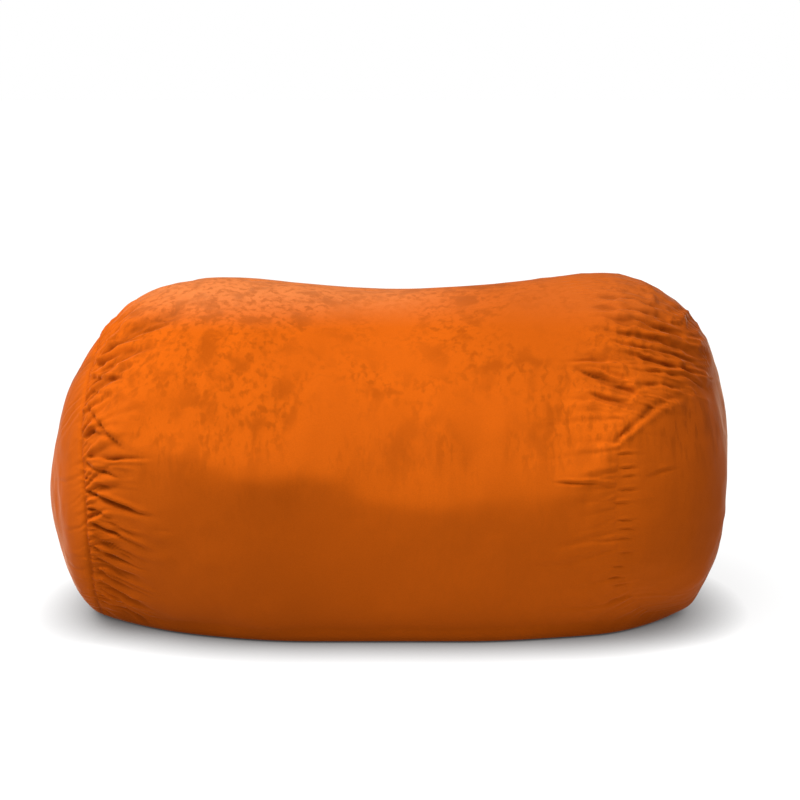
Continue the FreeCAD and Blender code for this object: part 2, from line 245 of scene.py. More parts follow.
# ---- gathers, creases and lumps

def steps_along(points):
    """Distance travelled from the first row, along every column."""
    step = np.linalg.norm(np.diff(points, axis=0), axis=-1)
    return np.concatenate([np.zeros((1, points.shape[1])), np.cumsum(step, axis=0)])


def steps_around(ring):
    step = np.linalg.norm(np.roll(ring, -1, axis=0) - ring, axis=-1)
    return np.concatenate([[0], np.cumsum(step)[:-1]]), float(step.sum())


def fold_profile(across, width):
    """A sharp valley with a rounded lip on its positive side."""
    valley = 0.7 * np.exp(-((across / width) ** 2)) + 0.3 * np.exp(-((across / (2.6 * width)) ** 2))
    lip = 0.6 * np.exp(-(((across - 2.2 * width) / (1.4 * width)) ** 2))
    return lip - valley


# Pleats at a seam: the ranges of their lengths, depths and widths.
LONG_PLEATS = ((0.14, 0.28), (0.0035, 0.0060), (0.0038, 0.0055))
SHORT_PLEATS = ((0.04, 0.14), (0.0015, 0.0035), (0.0028, 0.0040))
LONG_SHARE = 0.35
PLEATS_END, PLEAT_REACH = 0.34, 0.05


def gathers(points, seed, strength, spacing):
    """Pleats that start at the seam in the first row and die away from it, fanning out a little."""
    from_seam = steps_along(points)
    round_seam, seam_length = steps_around(points[0])
    rng = np.random.default_rng(seed)
    height = np.zeros(from_seam.shape)
    wobble = 0.006 * noise(points, 14, seed % 16) + 0.0025 * noise(points, 45, (seed + 3) % 16)
    near = from_seam < PLEATS_END
    at = 0.0
    while at < seam_length:
        seam_point = points[0, np.searchsorted(round_seam, at) % len(round_seam)]
        limits = LONG_PLEATS if rng.random() < LONG_SHARE else SHORT_PLEATS
        length, depth, width = (rng.uniform(*pair) for pair in limits)
        sag = 1.2 * (0.5 - seam_point[2]) * (1 if seam_point[1] < 0 else -1)
        slope = sag + rng.normal(0, 0.10)
        bend = rng.normal(0, 0.5)
        side = 1 if rng.random() < 0.5 else -1
        drift = at + slope * from_seam + bend * from_seam**2
        across = (round_seam[None, :] - drift + wobble + seam_length / 2) % seam_length - seam_length / 2
        close = near & (np.abs(across) < PLEAT_REACH)
        d = from_seam[close]
        fade = (1 - np.exp(-d / 0.006)) * np.clip(1 - d / length, 0, 1) ** 0.8
        spread = width * (1 + 1.2 * d / length)
        height[close] += depth * strength * fade * fold_profile(side * across[close], spread)
        at += rng.uniform(0.6, 1.5) * spacing
    return height


def crease(points, path, depth, width, lip=1, sharp_start=False, behind=False):
    """A crease on the front, or on the back, along a path of (X, Z) points."""
    path = np.array(path)
    run = np.concatenate([[0], np.cumsum(np.linalg.norm(np.diff(path, axis=0), axis=1))])
    line = np.stack([smooth_curve(run, path[:, k], np.linspace(0, run[-1], 24)) for k in (0, 1)], axis=1)
    x, z = points[..., 0], points[..., 2]
    near = points[..., 1] > -0.02 if behind else points[..., 1] < 0.02
    near = near & (x > line[:, 0].min() - 0.05) & (x < line[:, 0].max() + 0.05)
    near &= (z > line[:, 1].min() - 0.05) & (z < line[:, 1].max() + 0.05)
    height = np.zeros(x.shape)
    spot = points[near]
    px = spot[:, 0] + 0.003 * noise(spot, 30, 6)
    pz = spot[:, 2] + 0.005 * noise(spot, 22, 5)
    best = np.full(px.shape, 9.0)
    side = np.zeros(px.shape)
    share = np.zeros(px.shape)
    for i in range(len(line) - 1):
        a, b = line[i], line[i + 1]
        d = b - a
        t = np.clip(((px - a[0]) * d[0] + (pz - a[1]) * d[1]) / d.dot(d), 0, 1)
        gx, gz = px - a[0] - t * d[0], pz - a[1] - t * d[1]
        gap = np.hypot(gx, gz)
        closer = gap < best
        best = np.where(closer, gap, best)
        side = np.where(closer, np.sign(d[0] * gz - d[1] * gx), side)
        share = np.where(closer, (i + t) / (len(line) - 1), share)
    fade = ramp(0, 0.05 if sharp_start else 0.3, share) * (1 - ramp(0.5, 1.0, share))
    uneven = 1 + 0.5 * noise(spot, 28, 8)
    height[near] = depth * fade * uneven * fold_profile(lip * side * best, width * (0.65 + 0.4 * share))
    return height


# Creases that run from the left seam across the front: points (X, Z), depth, width, lip side.
LEFT_CREASES = (
    (((-0.762, 0.615), (-0.705, 0.570), (-0.655, 0.530), (-0.600, 0.518)), 0.012, 0.0055, 1),
    (((-0.766, 0.560), (-0.705, 0.553), (-0.655, 0.535), (-0.610, 0.528)), 0.007, 0.0065, 1),
    (((-0.762, 0.495), (-0.660, 0.503), (-0.565, 0.513)), 0.010, 0.0050, -1),
    (((-0.762, 0.478), (-0.700, 0.460), (-0.630, 0.437)), 0.011, 0.0050, 1),
    (((-0.764, 0.404), (-0.670, 0.375), (-0.575, 0.352)), 0.016, 0.0065, 1),
    (((-0.764, 0.440), (-0.720, 0.425), (-0.680, 0.405)), 0.008, 0.0045, 1),
    (((-0.764, 0.364), (-0.730, 0.350), (-0.690, 0.333)), 0.010, 0.0050, 1),
    (((-0.759, 0.328), (-0.680, 0.290), (-0.580, 0.245)), 0.012, 0.0055, 1),
    (((-0.759, 0.288), (-0.680, 0.250), (-0.580, 0.215)), 0.010, 0.0050, 1),
    (((-0.756, 0.250), (-0.720, 0.232), (-0.680, 0.210)), 0.009, 0.0045, 1),
    (((-0.754, 0.215), (-0.720, 0.196), (-0.660, 0.170)), 0.010, 0.0050, 1),
    (((-0.752, 0.180), (-0.710, 0.150), (-0.640, 0.112)), 0.009, 0.0045, 1),
    (((-0.751, 0.156), (-0.690, 0.110), (-0.600, 0.060)), 0.009, 0.0045, 1),
    (((-0.751, 0.125), (-0.690, 0.080), (-0.590, 0.040)), 0.009, 0.0045, 1),
    (((-0.757, 0.670), (-0.705, 0.680), (-0.640, 0.690)), 0.009, 0.0060, 1),
    (((-0.757, 0.645), (-0.715, 0.640), (-0.675, 0.640)), 0.007, 0.0045, 1),
    (((-0.748, 0.700), (-0.680, 0.745), (-0.590, 0.775)), 0.015, 0.0065, 1),
    (((-0.744, 0.722), (-0.680, 0.768), (-0.600, 0.795)), 0.011, 0.0055, 1),
    (((-0.730, 0.740), (-0.650, 0.792), (-0.540, 0.822)), 0.017, 0.0070, 1),
    (((-0.715, 0.762), (-0.630, 0.812), (-0.520, 0.838)), 0.013, 0.0060, 1),
    (((-0.700, 0.780), (-0.600, 0.830), (-0.490, 0.852)), 0.016, 0.0070, 1),
)

# Creases round the right shoulder and over the right end panel.
RIGHT_CREASES = (
    (((0.440, 0.738), (0.520, 0.745), (0.600, 0.742)), 0.010, 0.0060, -1),
    (((0.450, 0.733), (0.530, 0.700), (0.590, 0.672), (0.670, 0.640)), 0.015, 0.0070, 1),
    (((0.485, 0.668), (0.550, 0.652), (0.610, 0.634)), 0.011, 0.0060, 1),
    (((0.535, 0.535), (0.585, 0.580), (0.665, 0.632), (0.770, 0.650)), 0.010, 0.0085, -1),
    (((0.510, 0.884), (0.600, 0.880), (0.700, 0.850), (0.760, 0.815)), 0.009, 0.0055, 1),
    (((0.490, 0.862), (0.600, 0.856), (0.700, 0.826), (0.790, 0.770)), 0.011, 0.0055, 1),
    (((0.500, 0.838), (0.600, 0.832), (0.700, 0.800), (0.810, 0.735)), 0.010, 0.0050, 1),
    (((0.520, 0.815), (0.620, 0.800), (0.720, 0.765), (0.820, 0.705)), 0.012, 0.0055, 1),
    (((0.540, 0.790), (0.640, 0.772), (0.740, 0.735), (0.830, 0.680)), 0.010, 0.0050, 1),
    (((0.560, 0.765), (0.650, 0.742), (0.750, 0.705), (0.840, 0.655)), 0.010, 0.0055, 1),
    (((0.600, 0.725), (0.680, 0.706), (0.760, 0.680), (0.845, 0.630)), 0.008, 0.0050, 1),
    (((0.620, 0.690), (0.700, 0.672), (0.780, 0.660)), 0.008, 0.0050, -1),
    (((0.400, 0.458), (0.480, 0.452), (0.560, 0.447)), 0.005, 0.0050, 1),
    (((0.630, 0.463), (0.680, 0.470), (0.730, 0.478)), 0.005, 0.0050, 1),
)

# Soft folds on the back, towards the right end and off the zipper's ends.
BACK_CREASES = (
    (((0.84, 0.68), (0.70, 0.76), (0.50, 0.80)), 0.012, 0.0080, 1),
    (((0.86, 0.60), (0.74, 0.66), (0.60, 0.68)), 0.011, 0.0070, 1),
    (((0.87, 0.53), (0.76, 0.56), (0.64, 0.57)), 0.010, 0.0065, -1),
    (((0.55, 0.46), (0.66, 0.48), (0.80, 0.49)), 0.009, 0.0065, 1),
    (((0.55, 0.42), (0.66, 0.39), (0.80, 0.36)), 0.010, 0.0070, 1),
    (((0.86, 0.30), (0.74, 0.26), (0.62, 0.25)), 0.010, 0.0065, -1),
    (((0.83, 0.21), (0.70, 0.16), (0.54, 0.14)), 0.011, 0.0070, 1),
    (((-0.55, 0.46), (-0.62, 0.49), (-0.70, 0.54)), 0.008, 0.0060, 1),
)
BROW_RISE = 0.026
LOW_GATHERS = np.arange(0.06, 0.36, 0.018)
PUCKERS = np.arange(0.16, 0.53, 0.033)


def front_creases(points):
    height = np.zeros(points.shape[:-1])
    for path, depth, width, lip in LEFT_CREASES:
        height += crease(points, path, 0.72 * depth, 0.85 * width, lip, sharp_start=True)
    rng = np.random.default_rng(17)
    for z in LOW_GATHERS:
        z = z + rng.uniform(-0.007, 0.007)
        reach, drop = rng.uniform(0.09, 0.20), rng.uniform(0.35, 0.60)
        path = [(-0.757 + reach * t, max(z - drop * reach * t, 0.012)) for t in (0, 0.5, 1)]
        height += crease(points, path, rng.uniform(0.003, 0.006), 0.0036, 1, sharp_start=True)
    for path, depth, width, lip in RIGHT_CREASES:
        height += crease(points, path, 0.75 * depth, 0.85 * width, lip)
    rng = np.random.default_rng(5)
    for z in PUCKERS:
        x = rng.uniform(0.545, 0.57)
        z = z + rng.uniform(-0.006, 0.006)
        path = ((x, z), (x + 0.03, z + 0.003), (x + rng.uniform(0.05, 0.07), z - 0.002))
        height += crease(points, path, 0.0035, 0.0035, 1)
    return height


def back_creases(points):
    height = np.zeros(points.shape[:-1])
    for path, depth, width, lip in BACK_CREASES:
        height += crease(points, path, depth, width, lip, behind=True)
    return height


def lumps(points):
    """The foam's soft lumps and dents under the cloth."""
    dents = np.minimum(noise(points, 11, 2), 0.2)
    left_front = ramp(-0.75, -0.55, points[..., 0]) * (1 - ramp(-0.15, 0.15, points[..., 0]))
    left_front = left_front * ramp(0.45, 0.6, points[..., 2]) * (points[..., 1] < 0)
    upright = points * np.array([1, 1, 0.45])
    height = 0.0075 * noise(points, 3.2, 0) + 0.0040 * noise(points, 6.5, 1) + 0.0030 * dents
    height += 0.0010 * noise(points, 26, 3)
    height += left_front * 0.0050 * np.minimum(noise(upright, 19, 4), 0.1)
    return height - 0.007 * ramp(0.78, 0.90, np.abs(points[..., 0]))


# Height of the brow, the line where the front stops leaning back and starts to tuck under.
BROW_PLACES = np.array([-0.80, -0.62, -0.50, -0.40, -0.20, -0.08, 0.10, 0.25, 0.42, 0.50, 0.60, 0.70, 0.80])
BROW_HEIGHTS = np.array([0.56, 0.54, 0.51, 0.49, 0.46, 0.43, 0.40, 0.41, 0.43, 0.49, 0.59, 0.64, 0.655])


def brow(points):
    """The front bulges to a soft ridge along the brow line."""
    x, y, z = points[..., 0], points[..., 1], points[..., 2]
    line = smooth_curve(BROW_PLACES, BROW_HEIGHTS, np.clip(x, -0.8, 0.8)) + 0.022 * noise(points, 6, 9)
    away = (z - line) / 0.10
    ridge = np.exp(0.28 - np.sqrt(away**2 + 0.28**2))
    front = ramp(0.05, 0.25, -y) * (1 - ramp(0.66, 0.84, np.abs(x)))
    to_the_left = 1 + 0.30 * (1 - ramp(-0.35, 0.0, x))
    return front * (BROW_RISE * ridge * to_the_left - 0.016)


def crinkles(points):
    """Small sharp wrinkles in bands beside the two ends, where the cloth is pulled together."""
    x, y, z = points[..., 0], points[..., 1], points[..., 2]
    front = ramp(-0.05, 0.1, -y)
    right = ramp(0.42, 0.56, x) * (1 - ramp(0.80, 0.88, x)) * ramp(0.58, 0.68, z) * front
    u = np.stack([x * 0.94 - z * 0.34, 0 * x, (x * 0.34 + z * 0.94) * 4.0], axis=-1)
    fine = 1 - np.abs(noise(u, 10, 10)) * 3.5
    finer = 1 - np.abs(noise(u, 21, 11)) * 3.5
    height = right * (0.0045 * np.maximum(fine, -0.5) + 0.0025 * np.maximum(finer, -0.5))
    left = (1 - ramp(-0.72, -0.56, x)) * ramp(-0.80, -0.75, x) * front
    tilt = 1.0 * (z - 0.5)
    v = np.stack([x, 0 * x, (z - tilt * (x + 0.76)) * 4.5], axis=-1)
    near_seam = 1 - np.abs(noise(v, 9, 12)) * 3.0
    return height + left * 0.0028 * np.maximum(near_seam, -0.6)


def calm_zones(points):
    """1 where the cloth is free, 0 on the floor and beside the zipper."""
    x, y, z = points[..., 0], points[..., 1], points[..., 2]
    floor = ramp(0.003, 0.04, z)
    past_end = np.maximum(np.abs(x) - SLOT_END - 0.01, 0)
    past_side = np.maximum(np.abs(z - ZIP_LINE) - 0.028, 0)
    zipper = np.where(y > 0, ramp(0.0, 0.07, np.hypot(past_end, past_side)), 1)
    return floor * zipper


# The gathers at each seam: seed, strength and spacing.
WRAP_GATHERS = {"left": (21, 1.25, 0.013), "right": (33, 0.55, 0.018)}
END_GATHERS = {"left": (51, 0.35, 0.030), "right": (62, 0.20, 0.030)}
GROOVE_DEPTHS = {"left": 0.0050, "right": 0.0007}
GROOVE_WIDTH = 0.006


def settle(points, normal, height):
    """Move the free cloth in or out by a height, but never through the floor."""
    moved = points + normal * (height * calm_zones(points))[..., None]
    moved[..., 2] = np.maximum(moved[..., 2], FLOOR_GAP)
    return moved


def seam_groove(points, side):
    """The dip of the cloth into the seam in the first row."""
    return -GROOVE_DEPTHS[side] * np.exp(-((steps_along(points) / GROOVE_WIDTH) ** 2))


def sculpt_wrap(points, normal):
    """The sculpted wrap, and how far its folds stand above or below the cloth between them."""
    height = front_creases(points) + back_creases(points) + crinkles(points)
    behind = ramp(-0.15, 0.20, points[..., 1])
    height += gathers(points, *WRAP_GATHERS["left"]) + seam_groove(points, "left")
    backwards = points[::-1]
    folds = gathers(backwards, *WRAP_GATHERS["right"]) + seam_groove(backwards, "right")
    height += folds[::-1] * (1 + 1.1 * behind)
    return settle(points, normal, height + lumps(points) + brow(points)), height


def sculpt_end(points, normal, side):
    """The same for an end panel, whose tip stays smooth."""
    distance = steps_along(points)
    height = front_creases(points) + crinkles(points) + seam_groove(points, side)
    away_from_tip = 1 - ramp(0.45, 0.80, distance / distance[-1])
    height += away_from_tip * gathers(points, *END_GATHERS[side])
    return settle(points, normal, height + lumps(points) + brow(points)), height


# ---- cloth relaxed over the foam

RELAX_AROUND, RELAX_ALONG, RELAX_FRAMES = 300, 72, 18
RELAX_CAP = 0.012
CUT_SPARE, MOST_GATHERING = 1.012, 1.10
HELD_LEAST = 0.02
BROAD_ROWS, BROAD_COLUMNS = 2, 4


def relax_start(points, normal):
    """The bag with its soft lumps, and a fine random unevenness for the folds to grow from."""
    uneven = 0.0045 * noise(points, 14, 13) + 0.0025 * noise(points, 30, 14)
    return settle(points, normal, lumps(points) + uneven)


def relaxed_rest(points):
    """The wrap as it was cut, a little too large: its end rings are the ones gathered in most."""
    centre = points.mean(axis=1, keepdims=True)
    length = np.linalg.norm(np.roll(points, -1, axis=1) - points, axis=-1).sum(axis=1)
    grow = np.minimum(length.max() / length, MOST_GATHERING)[:, None, None] * CUT_SPARE
    rest = centre + (points - centre) * grow
    rest[..., 0] = points[..., 0] * CUT_SPARE
    return rest


def relax_cloth(start, rest, held):
    """Blender's cloth solver, run on the wrap with a little pressure inside and no gravity."""
    rows, columns = start.shape[:2]
    cloth = mesh_object("relaxing_wrap", start, ring_faces(rows, columns))
    face_outwards(cloth)
    cloth.shape_key_add(name="Basis")
    cut = cloth.shape_key_add(name="cut")
    cut.data.foreach_set("co", rest.reshape(-1))
    cut.value = 0
    group = cloth.vertex_groups.new(name="held")
    levels = np.round(held.reshape(-1), 2)
    for level in np.unique(levels):
        group.add(np.where(levels == level)[0].tolist(), float(level), "REPLACE")
    modifier = cloth.modifiers.new("cloth", "CLOTH")
    settings = modifier.settings
    settings.quality = 5
    settings.mass = 0.3
    settings.tension_stiffness = settings.compression_stiffness = 15
    settings.shear_stiffness = 5
    settings.bending_stiffness = 0.2
    settings.vertex_group_mass = "held"
    settings.pin_stiffness = 1
    settings.rest_shape_key = cut
    settings.use_pressure = True
    settings.uniform_pressure_force = 4
    settings.effector_weights.gravity = 0
    modifier.collision_settings.use_collision = False
    modifier.point_cache.frame_start, modifier.point_cache.frame_end = 1, RELAX_FRAMES
    scene = bpy.context.scene
    for number in range(1, RELAX_FRAMES + 1):
        scene.frame_set(number)
    shaped = cloth.evaluated_get(bpy.context.evaluated_depsgraph_get()).to_mesh()
    result = np.empty(rows * columns * 3)
    shaped.vertices.foreach_get("co", result)
    scene.frame_set(1)
    mesh = cloth.data
    bpy.data.objects.remove(cloth)
    bpy.data.meshes.remove(mesh)
    return result.reshape(start.shape)


def broad_part(shift):
    """A running average of the shift over the wrap, which goes round without an end."""
    for _ in range(2):
        padded = np.pad(shift, ((BROAD_ROWS, BROAD_ROWS), (0, 0), (0, 0)), mode="edge")
        along = sum(padded[k : k + len(shift)] for k in range(2 * BROAD_ROWS + 1))
        around = sum(np.roll(along, k, axis=1) for k in range(-BROAD_COLUMNS, BROAD_COLUMNS + 1))
        shift = around / ((2 * BROAD_ROWS + 1) * (2 * BROAD_COLUMNS + 1))
    return shift


def relaxed_shift(fine_shape):
    """The unevenness and the folds the simulation makes of it, spread on to the fine grid."""
    angles = section_angles(RELAX_AROUND)
    seams = {side: seam_turn(angles, side) for side in ("left", "right")}
    points, normal = surface(wrap_turns(RELAX_ALONG, seams), angles)
    start = relax_start(points, normal)
    free = calm_zones(points)
    held = 1 - (1 - HELD_LEAST) * free
    held[0] = held[-1] = 1
    shift = relax_cloth(start, relaxed_rest(start), held) - settle(points, normal, lumps(points))
    shift -= broad_part(shift)
    seam_fade = np.minimum(steps_along(start), steps_along(start[::-1])[::-1])
    shift *= ramp(0.0, 0.05, seam_fade)[..., None]
    size = np.linalg.norm(shift, axis=-1, keepdims=True)
    shift *= (RELAX_CAP * np.tanh(size / RELAX_CAP) / np.maximum(size, 1e-9)) * free[..., None]
    row = np.linspace(0, RELAX_ALONG - 1, fine_shape[0])
    column = np.arange(fine_shape[1]) * RELAX_AROUND / fine_shape[1]
    r0 = np.minimum(row.astype(int), RELAX_ALONG - 2)
    c0 = column.astype(int)
    r, c = (row - r0)[:, None, None], (column - c0)[None, :, None]
    c1 = (c0 + 1) % RELAX_AROUND
    near = shift[r0][:, c0] * (1 - c) + shift[r0][:, c1] * c
    far = shift[r0 + 1][:, c0] * (1 - c) + shift[r0 + 1][:, c1] * c
    return near * (1 - r) + far * r


# ---- meshes

def mesh_object(name, points, faces):
    mesh = bpy.data.meshes.new(name)
    mesh.from_pydata([tuple(p) for p in np.asarray(points).reshape(-1, 3)], [], faces)
    mesh.update()
    mesh.polygons.foreach_set("use_smooth", [True] * len(mesh.polygons))
    obj = bpy.data.objects.new(name, mesh)
    bpy.context.scene.collection.objects.link(obj)
    return obj


def ring_faces(rows, columns, skip=None):
    """Quads of a grid whose columns close round the bag, wound to face outwards."""
    faces = []
    for i in range(rows - 1):
        for j in range(columns):
            k = (j + 1) % columns
            if skip is None or not skip(i, j):
                faces.append((i * columns + j, (i + 1) * columns + j, (i + 1) * columns + k,
                              i * columns + k))
    return faces


def capped(points, tip):
    """A closed dome: ring rows joined to one tip point."""
    rows, columns = points.shape[:2]
    faces = ring_faces(rows, columns)
    last = (rows - 1) * columns
    centre = rows * columns
    faces += [(last + j, centre, last + (j + 1) % columns) for j in range(columns)]
    return np.concatenate([points.reshape(-1, 3), tip.reshape(1, 3)]), faces


def face_outwards(obj, centre=(0, 0, EQUATOR)):
    bm = bmesh.new()
    bm.from_mesh(obj.data)
    bmesh.ops.recalc_face_normals(bm, faces=bm.faces)
    middle = Vector(centre)
    total = sum(f.normal.dot(f.calc_center_median() - middle) * f.calc_area() for f in bm.faces)
    if total < 0:
        bmesh.ops.reverse_faces(bm, faces=bm.faces)
    bm.to_mesh(obj.data)
    bm.free()


# Offsets from the zipper's line of its topstitching, its slot edges and the hem's outer edge.
TOPSTITCHING = (-0.0135, 0.0135)
HEM_OFFSETS = np.array([-0.020, TOPSTITCHING[0], -SLOT_HALF, SLOT_HALF, TOPSTITCHING[1], 0.020])
HEM_REACH = 0.045


def line_up_with_zipper(points):
    """Bring columns beside the zipper into straight lines along it, and say which they became."""
    middle = points[ALONG // 2, :, 2] - ZIP_LINE
    at_back = points[ALONG // 2, :, 1] > 0.3
    keys = [int(np.argmin(np.where(at_back, np.abs(middle - offset), 9))) for offset in HEM_OFFSETS]
    band = [j for j in range(-40, 41) if abs(middle[j]) < HEM_REACH]
    ends = [band[0], band[-1]]
    for row in points:
        pull = 1 - ramp(SLOT_END + 0.01, SLOT_END + 0.07, abs(row[0, 0]))
        if pull > 0:
            height = row[band, 2] - ZIP_LINE
            knots = row[[ends[0]] + keys + [ends[1]], 2] - ZIP_LINE
            aims = np.concatenate([[knots[0]], HEM_OFFSETS, [knots[-1]]])
            row[band, 2] += pull * (np.interp(height, knots, aims) - height)
            inner = 1 - ramp(0.022, HEM_REACH, np.abs(height))
            row[band, 1] += pull * inner * (BACK - row[band, 1])
    return [(k + AROUND // 2) % AROUND - AROUND // 2 for k in keys]


def keep_fold_depth(obj, folds):
    """Store the folds' height with the mesh, so that the material can paint shade into them."""
    depth = np.zeros(len(obj.data.vertices))
    depth[:folds.size] = folds.reshape(-1)
    attribute = obj.data.attributes.new("fold_depth", "FLOAT", "POINT")
    attribute.data.foreach_set("value", depth)


def make_wrap():
    points, normal = surface(wrap_turns(ALONG, SEAM_TURNS), ANGLES)
    points, folds = sculpt_wrap(points, normal)
    points += relaxed_shift(points.shape)
    points[..., 2] = np.maximum(points[..., 2], FLOOR_GAP)
    keys = line_up_with_zipper(points)
    lower, upper = keys[2], keys[3]

    def in_slot(i, j):
        j = (j + AROUND // 2) % AROUND - AROUND // 2
        return lower <= j < upper and max(abs(points[i, j, 0]), abs(points[i + 1, j, 0])) < SLOT_END
    wrap = mesh_object("cover_wrap", points, ring_faces(ALONG, AROUND, in_slot))
    keep_fold_depth(wrap, folds)
    face_outwards(wrap)
    turn_in_slot(wrap)
    return wrap, points


def turn_in_slot(wrap):
    """Fold the cloth's edges inwards round the zipper's slot, so that they show a thickness."""
    bm = bmesh.new()
    bm.from_mesh(wrap.data)
    loose = [v for v in bm.verts if not v.link_faces]
    bmesh.ops.delete(bm, geom=loose, context="VERTS")
    rim = [e for e in bm.edges if e.is_boundary
           and all(abs(v.co.x) < SLOT_END + 0.01 and v.co.y > 0.4 for v in e.verts)]
    fold = bmesh.ops.extrude_edge_only(bm, edges=rim)["geom"]
    for v in (g for g in fold if isinstance(g, bmesh.types.BMVert)):
        v.co.y -= 0.0018
    bmesh.ops.recalc_face_normals(bm, faces=bm.faces)
    for f in bm.faces:
        f.smooth = True
    bm.to_mesh(wrap.data)
    bm.free()
    face_outwards(wrap)


def make_end(side):
    points, normal = surface(end_turns(side, END_ROWS, SEAM_TURNS), ANGLES)
    points, folds = sculpt_end(points, normal, side)
    tip = points[-1].mean(axis=0)
    end = mesh_object("cover_end_" + side, *capped(points, tip))
    keep_fold_depth(end, folds)
    face_outwards(end, points.reshape(-1, 3).mean(axis=0) * 0.8)
    return end


# ---- stitches and zippers

def along_path(run, path, where):
    return np.stack([np.interp(where, run, path[:, k]) for k in range(3)], axis=1)


# A stitch's rings: place along its length, and share of its radius.
STITCH_RINGS = ((-0.5, 0.0), (-0.38, 0.85), (0.0, 1.0), (0.38, 0.85), (0.5, 0.0))
STITCH_SIDES = 6


def stitch_row(name, path, outward, length, pitch, radius, sunk=0.0):
    """A row of short stitches that lie along a path, each a slim spindle."""
    step = np.linalg.norm(np.diff(path, axis=0), axis=1)
    run = np.concatenate([[0], np.cumsum(step)])
    count = int(run[-1] / pitch)
    centres = (np.arange(count) + 0.5) * run[-1] / count
    place, out = along_path(run, path, centres), along_path(run, outward, centres)
    along = along_path(run, path, centres + 0.001) - along_path(run, path, centres - 0.001)
    along /= np.linalg.norm(along, axis=1, keepdims=True)
    aside = np.cross(out, along)
    points, faces = [], []
    for i in range(count):
        first = len(points)
        for share, size in STITCH_RINGS:
            centre = place[i] + along[i] * share * length + out[i] * (radius * 0.6 * size - sunk)
            for k in range(STITCH_SIDES):
                turn = 2 * math.pi * k / STITCH_SIDES
                spoke = aside[i] * math.cos(turn) + out[i] * math.sin(turn)
                points.append(centre + spoke * radius * max(size, 0.15))
        last = len(points) - STITCH_SIDES
        for ring in range(first, last, STITCH_SIDES):
            for k in range(STITCH_SIDES):
                a, b = ring + k, ring + (k + 1) % STITCH_SIDES
                faces.append((a, b, b + STITCH_SIDES, a + STITCH_SIDES))
        faces.append(tuple(first + k for k in reversed(range(STITCH_SIDES))))
        faces.append(tuple(last + k for k in range(STITCH_SIDES)))
    return mesh_object(name, points, faces)


def rounded_box(name, low, high, radius):
    """A box with softened edges, for tapes, stops and the label."""
    bm = bmesh.new()
    bmesh.ops.create_cube(bm, size=1)
    low, high = np.array(low), np.array(high)
    for v in bm.verts:
        v.co = Vector((low + high) / 2 + (high - low) * np.array(v.co))
    bmesh.ops.bevel(bm, geom=bm.edges[:], offset=radius, segments=2, profile=0.5, affect="EDGES")
    mesh = bpy.data.meshes.new(name)
    bm.to_mesh(mesh)
    bm.free()
    obj = bpy.data.objects.new(name, mesh)
    bpy.context.scene.collection.objects.link(obj)
    return obj


def make_coil(name, node, side):
    """The teeth of one zipper coil: a loop of round monofilament at every pitch along the tape."""
    (x0, y0, z0), (x1, y1, z1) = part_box(node)
    pitch = 0.0026
    count = int((x1 - x0) / pitch)
    wire = 0.00052
    reach, thick = (z1 - z0) / 2 - wire, (y1 - y0) / 2 - wire
    turns, sides = 10, 5
    points, faces = [], []
    for i in range(count):
        centre = np.array([x0 + (i + 0.5) * (x1 - x0) / count, (y0 + y1) / 2, (z0 + z1) / 2])
        first = len(points)
        for t in range(turns):
            a = 2 * math.pi * t / turns
            outer = np.array([0.12 * pitch * side * math.cos(a), math.sin(a), math.cos(a)])
            hub = centre + outer * np.array([1, thick, reach])
            spoke = np.array([0, math.sin(a), math.cos(a)])
            for k in range(sides):
                b = 2 * math.pi * k / sides
                points.append(hub + wire * (spoke * math.cos(b) + np.array([1, 0, 0]) * math.sin(b)))
        for t in range(turns):
            for k in range(sides):
                a, b = t * sides + k, t * sides + (k + 1) % sides
                c, d = (b + sides) % (turns * sides), (a + sides) % (turns * sides)
                faces.append((first + a, first + b, first + c, first + d))
    return mesh_object(name, points, faces)


def make_label():
    """A satin care label sewn in under the zipper, its free end curling a little off the cloth."""
    low, high = (np.array(corner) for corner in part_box("care_label"))
    columns, rows = 9, 15
    across = np.linspace(low[0], high[0], columns)
    drop = np.linspace(0, 1, rows)
    points = []
    for layer in (0.0, 0.0007):
        for d in drop:
            for x in across:
                curl = 0.0022 * d**2 + 0.0006 * math.sin(9 * d + 40 * x)
                points.append((x, low[1] + 0.0006 * d + curl * d + layer, high[2] - d * (high[2] - low[2])))
    faces = []
    size = rows * columns
    for i in range(rows - 1):
        for j in range(columns - 1):
            a = i * columns + j
            faces.append((a, a + 1, a + columns + 1, a + columns))
            faces.append((size + a, size + a + columns, size + a + columns + 1, size + a + 1))
    rim = list(range(columns)) + [i * columns + columns - 1 for i in range(1, rows)]
    rim += [(rows - 1) * columns + j for j in reversed(range(columns - 1))]
    rim += [i * columns for i in reversed(range(1, rows - 1))]
    for a, b in zip(rim, rim[1:] + rim[:1]):
        faces.append((a, size + a, size + b, b))
    label = mesh_object("care_label_cloth", points, faces)
    face_outwards(label, np.mean(points, axis=0))
    return label


# ---- liner and foam

LINER_INSET, FOAM_INSET = 0.050, 0.065
INNER_AROUND, INNER_ALONG, INNER_END_ROWS = 160, 70, 24
INNER_ANGLES = np.linspace(0, 2 * math.pi, INNER_AROUND, endpoint=False)
INNER_SEAMS = {side: seam_turn(INNER_ANGLES, side) for side in ("left", "right")}
LINER_FACE = float(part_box("liner_zip_coil_lower")[1][1])


def inset_surface(turns, inset):
    """A grid pulled inside the cover, less so behind the zipper."""
    points, normal = surface(turns, INNER_ANGLES)
    near_zip = (1 - calm_zones(points)) * (points[..., 1] > 0.3)
    depth = inset * (1 - near_zip) + (BACK - LINER_FACE + 0.3 * inset - 0.011) * near_zip
    moved = points - normal * depth[..., None]
    moved[..., 2] = np.maximum(moved[..., 2], inset * 0.25)
    return moved


